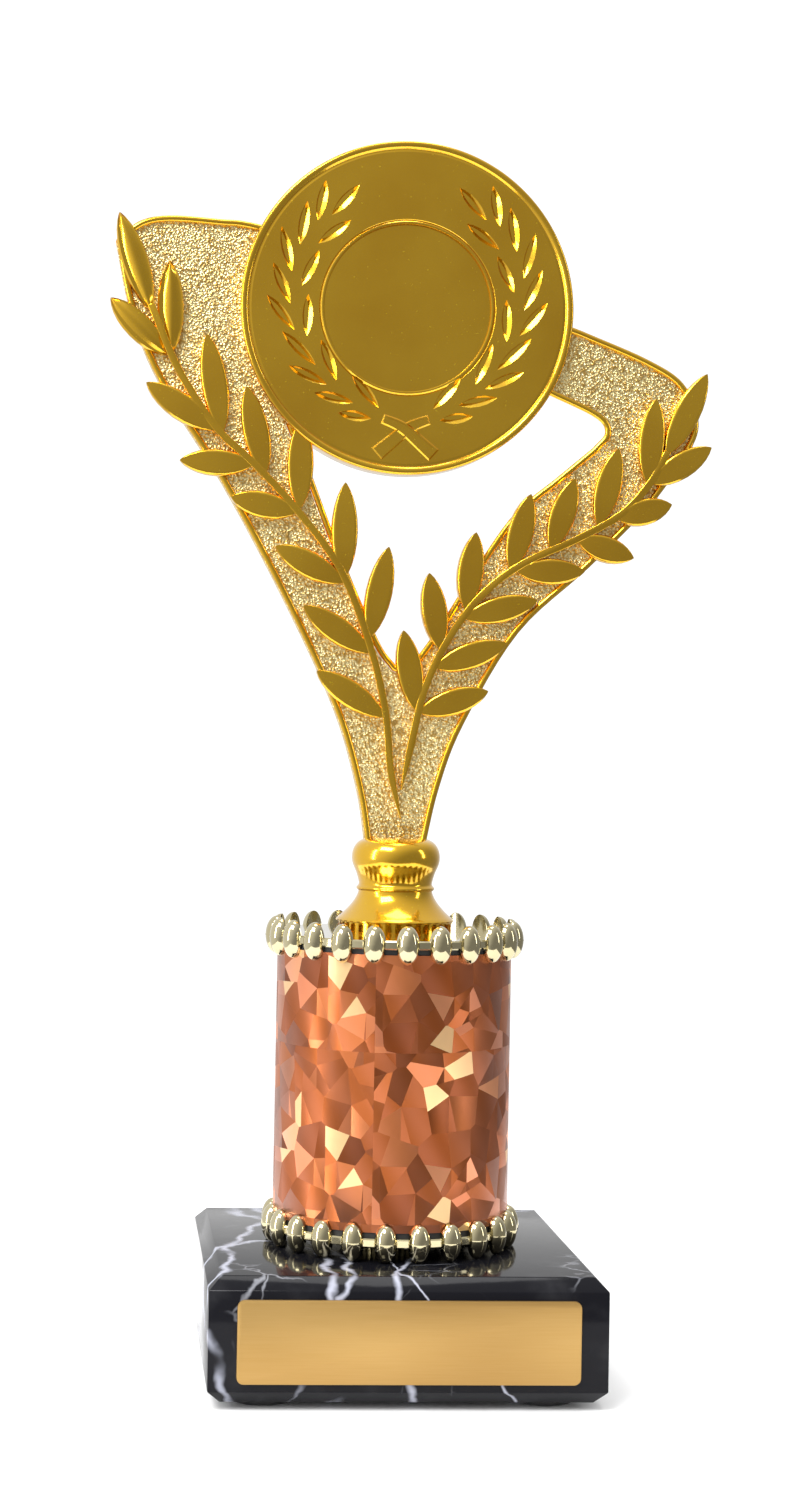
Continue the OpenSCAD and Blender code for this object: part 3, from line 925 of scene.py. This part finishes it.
def make_leaf(name, section, tip_height):
    """A leaf drawn out along X from its cross section, then narrowed and lowered at both its ends."""
    half = LEAF_WIDTH / 2
    side = leaf_side(LEAF_LENGTH, LEAF_WIDTH, 12)
    leaf = trace(name, [at(0, y, across * half) for across, y in section])
    for (here, _), (there, _) in zip(side, side[1:]):
        bpy.ops.mesh.extrude_region_move(TRANSFORM_OT_translate={"value": at(there - here, 0, 0)})
    for x, half_width in side:
        width = half_width / half
        pick(leaf, "VERT", lambda v: abs(v.co.x - x * MM) < NEAR * MM)
        height = tip_height + (1 - tip_height) * width
        width = max(width, 0) ** 0.8
        bpy.ops.transform.resize(value=(1, height, width), center_override=at(x, FIELD, 0))
    close_up()
    close_edit()
    return leaf


def crosses_disc(points):
    """Whether any of the points lies on the disc or within a millimetre of it."""
    return any(hypot(x - DISC_X, z - DISC_Z) < DISC_R + 1 for x, z in points)


def make_branch(name, node, stem_points, leaves, flat_leaf, ridged_leaf):
    """A stem and its leaves, stopped at the disc."""
    line = raised(smooth(stem_points, 4))
    halves = [STEM_WIDTH / 2 * min(1, 0.2 + i / 4) for i in range(len(line))]
    stem = slab("stem", band_outline(line, halves), FIELD, LAUREL_FACE + 0.05, 0.25)
    if crosses_disc(line):
        combine(stem, disc_cutter())
        seal(stem)
    parts = [stem]
    for x, z, length, direction in leaves:
        model = ridged_leaf if z > RIDGED_FROM_Z else flat_leaf
        angle = radians(direction)
        foot = Matrix.Translation(at(x, 0, z + JOINT_Z))
        stretch = Matrix.Diagonal((length / LEAF_LENGTH, 1, 1, 1))
        leaf = copied(model, "leaf", foot @ Matrix.Rotation(-angle, 4, "Y") @ stretch)
        reach = [length * part for part in (0.5, 0.8, 1)]
        if crosses_disc([(x + r * cos(angle), z + JOINT_Z + r * sin(angle)) for r in reach]):
            combine(leaf, disc_cutter())
            seal(leaf)
        parts.append(leaf)
    branch = joined(name, parts)
    hand_over(branch, GOLD, "gold_plating", node, sharp=40)


def make_laurels():
    # Leaf sections: part of the half width across, and depth.
    face = LAUREL_FACE
    round_edge = [
        (1, FIELD), (1, face + 0.5), (0.96, face + 0.22), (0.87, face + 0.05), (0.76, face), (0.7, face),
    ]
    flat = round_edge + [(-across, y) for across, y in reversed(round_edge)]
    ridged = [
        (1, FIELD), (1, face + 0.7), (0.86, face + 0.4), (0.55, face + 0.48), (0.28, face + 0.12),
        (0.1, face), (-0.1, face), (-0.3, face + 0.12), (-0.72, face + 0.48), (-0.92, face + 0.4),
        (-1, face + 0.7), (-1, FIELD),
    ]
    flat_leaf = make_leaf("flat_leaf", flat, 0.9)
    ridged_leaf = make_leaf("ridged_leaf", ridged, 0.7)
    make_branch("left_branch", "left_laurel", LEFT_STEM, LEFT_LEAVES, flat_leaf, ridged_leaf)
    make_branch("right_branch", "right_laurel", RIGHT_STEM, RIGHT_LEAVES, flat_leaf, ridged_leaf)
    bpy.data.objects.remove(flat_leaf)
    bpy.data.objects.remove(ridged_leaf)


def make_engraving_tool():
    """The shape of one engraved leaf: full size at the disc's face and narrow at its floor."""
    length = 6
    side = leaf_side(length, 1.7, 8)
    outline = side + [(x, -half) for x, half in reversed(side[1:-1])]
    tool = trace("engraved_leaf", [at(x, 0.06, z) for x, z in outline])
    bpy.ops.mesh.edge_face_add()
    bpy.ops.mesh.extrude_region_move(TRANSFORM_OT_translate={"value": at(0, -0.5, 0)})
    bpy.ops.transform.resize(value=(0.72, 1, 0.4), center_override=at(length / 2, 0, 0))
    close_up()
    close_edit()
    return tool, length


def make_disc():
    """The medal: rounded rim, ridge round the recess, two engraved sprays and a crossed ribbon."""
    body = DISC_BODY
    rim = DISC_R
    ridge = RECESS_R
    floor = body - RECESS_DEPTH
    back = [(0, 0), (rim - 0.5, 0)] + arc(rim - 0.5, 0.5, 0.5, -90, 0, 4)[1:]
    rounded_rim = arc(rim - 0.45, body - 0.1, 0.45, 0, 90, 6) + [
        (rim - 0.75, body + 0.34), (rim - 0.95, body + 0.25), (rim - 1.2, body - 0.06),
        (rim - 1.35, body - 0.08), (rim - 1.55, body), (rim - 1.65, body)]
    round_ridge = [
        (ridge + 0.85, body), (ridge + 0.78, body), (ridge + 0.64, body - 0.1), (ridge + 0.5, body + 0.02),
        (ridge + 0.38, body + 0.13), (ridge + 0.2, body + 0.15), (ridge + 0.06, body + 0.1)]
    recess = [(ridge, body - 0.05), (ridge - 0.04, floor), (0, floor)]
    disc = turned("medal", back + rounded_rim + round_ridge + recess, steps=180)
    place = Matrix.Translation(at(DISC_X, WING_BACK, DISC_Z)) @ Matrix.Rotation(pi / 2, 4, "X")
    disc.data.transform(place)
    face = WING_BACK - DISC_BODY
    tool, tool_length = make_engraving_tool()
    cutters = []
    for side in (1, -1):
        for (x0, z0), (x1, z1) in DISC_LEAVES:
            dx, dz = side * (x1 - x0), z1 - z0
            turn = Matrix.Rotation(-atan2(dz, dx), 4, "Y")
            stretch = Matrix.Diagonal((hypot(dx, dz) * 1.06 / tool_length, 1, 1, 1))
            foot = Matrix.Translation(at(DISC_X + side * x0, face, DISC_Z + z0))
            cutters.append(copied(tool, "engraving", foot @ turn @ Matrix.Rotation(pi, 4, "X") @ stretch))
    bpy.data.objects.remove(tool)
    engravings = joined("engravings", cutters)
    open_edit(engravings)
    pick(engravings, "VERT", lambda v: v.co.y > (face + 0.2) * MM)
    floor_shift = at(-0.22, 0, 0.26)
    bpy.ops.transform.translate(value=floor_shift)
    close_edit()
    combine(disc, engravings)
    for side in (-1, 1):
        line = [(DISC_X + side * x, DISC_Z + z) for x, z in smooth(RIBBON, 3)]
        halves = [0.75 + 0.4 * i / (len(line) - 1) for i in range(len(line))]
        if side < 0:
            line.reverse()
            halves.reverse()
        strip = slab("ribbon", band_outline(line, halves), face + 0.3, face - 0.22, 0.21, 1)
        combine(disc, strip, "UNION")
        inner = [half - 0.38 for half in halves]
        middle = band_outline(line[1:-1], inner[1:-1])
        combine(disc, slab("ribbon_middle", middle, face - 0.01, face - 0.5))
    seal(disc)
    hand_over(disc, GOLD, "gold_plating", "medal_disc", sharp=30)


# ---------------------------------------------------------------- studio


def make_floor():
    bpy.ops.object.select_all(action="DESELECT")
    bpy.ops.mesh.primitive_plane_add(size=0.3)
    floor = bpy.context.object
    floor.name = "floor"
    f = Finish("pale_floor")
    tone = f.noise(3, 2)
    colour = f.mix(tone, (0.86, 0.86, 0.86), (0.9, 0.9, 0.9))
    floor.data.materials.append(f.surface(Base_Color=colour, Roughness=0.8))


def softbox(name, place, aim, width, height, power):
    """A soft rectangular lamp that points at a spot on the trophy."""
    lamp = bpy.data.lights.new(name, "AREA")
    lamp.shape = "RECTANGLE"
    lamp.size = width
    lamp.size_y = height
    lamp.energy = power
    holder = bpy.data.objects.new(name, lamp)
    bpy.context.scene.collection.objects.link(holder)
    holder.location = place
    holder.rotation_euler = (Vector(aim) - Vector(place)).to_track_quat("-Z", "Y").to_euler()


def make_studio_light():
    """A white surround, which reflections see as darker behind the camera, and four soft lamps."""
    f = Finish("studio", "worlds")
    slope = f.vector("DOT_PRODUCT", f.place.other("Generated"), (-0.4, 0.22, 0.35), output=1)
    inputs = {0: slope, 1: -0.35, 2: 0.35, 3: 0.3, 4: 0.95}
    reflected = f.node("MapRange", {"interpolation_type": "SMOOTHSTEP"}, inputs)
    glossy = f.node("LightPath", output="Is Glossy Ray")
    strength = f.node("Mix", {}, {0: glossy, 2: 1.15, 3: reflected})
    sky = f.node("Background", {}, {"Color": (1, 1, 1, 1), "Strength": strength})
    f.node("OutputWorld", {}, {"Surface": sky})
    bpy.context.scene.world = f.owner
    aim = (0, 0, 0.12)
    softbox("key_upper_left", (-0.5, -0.62, 1.0), aim, 0.6, 0.4, 14)
    softbox("strip_left", (-0.9, -0.38, 0.34), aim, 0.12, 0.8, 4)
    softbox("fill_right", (0.9, -0.3, 0.4), aim, 0.1, 0.6, 1)
    softbox("top", (0.05, 0.05, 1.1), aim, 0.4, 0.4, 3)


def make_camera():
    """The camera's own axes, its place and its lens."""
    right = Vector((0.9975861, -0.0667982, 0.0189705))
    up = Vector((-0.0202763, -0.0189238, 0.9996153))
    back = right.cross(up).normalized()
    camera = bpy.data.cameras.new("camera")
    camera.sensor_width = 36
    camera.lens = 62.96
    camera.shift_x = 0.08
    camera.shift_y = -0.043
    camera.clip_start = 0.01
    holder = bpy.data.objects.new("camera", camera)
    bpy.context.scene.collection.objects.link(holder)
    axes = Matrix((right, up, back)).transposed().to_4x4()
    place = at(-44.07, -391.31, 93.06)
    holder.matrix_world = Matrix.Translation(place) @ axes
    bpy.context.scene.camera = holder


bpy.ops.object.select_all(action="DESELECT")
make_marble_block()
make_name_plate()
make_feet()
make_fixings()
make_threaded_rod()
make_bead_rings()
make_foil_sleeve()
make_riser()
make_knob()
make_wings()
make_laurels()
make_disc()
keep_node("column_tube", BLACK)
keep_node("plate_adhesive", TAPE)
make_floor()
make_studio_light()
make_camera()
bpy.context.scene.view_settings.view_transform = "Standard"
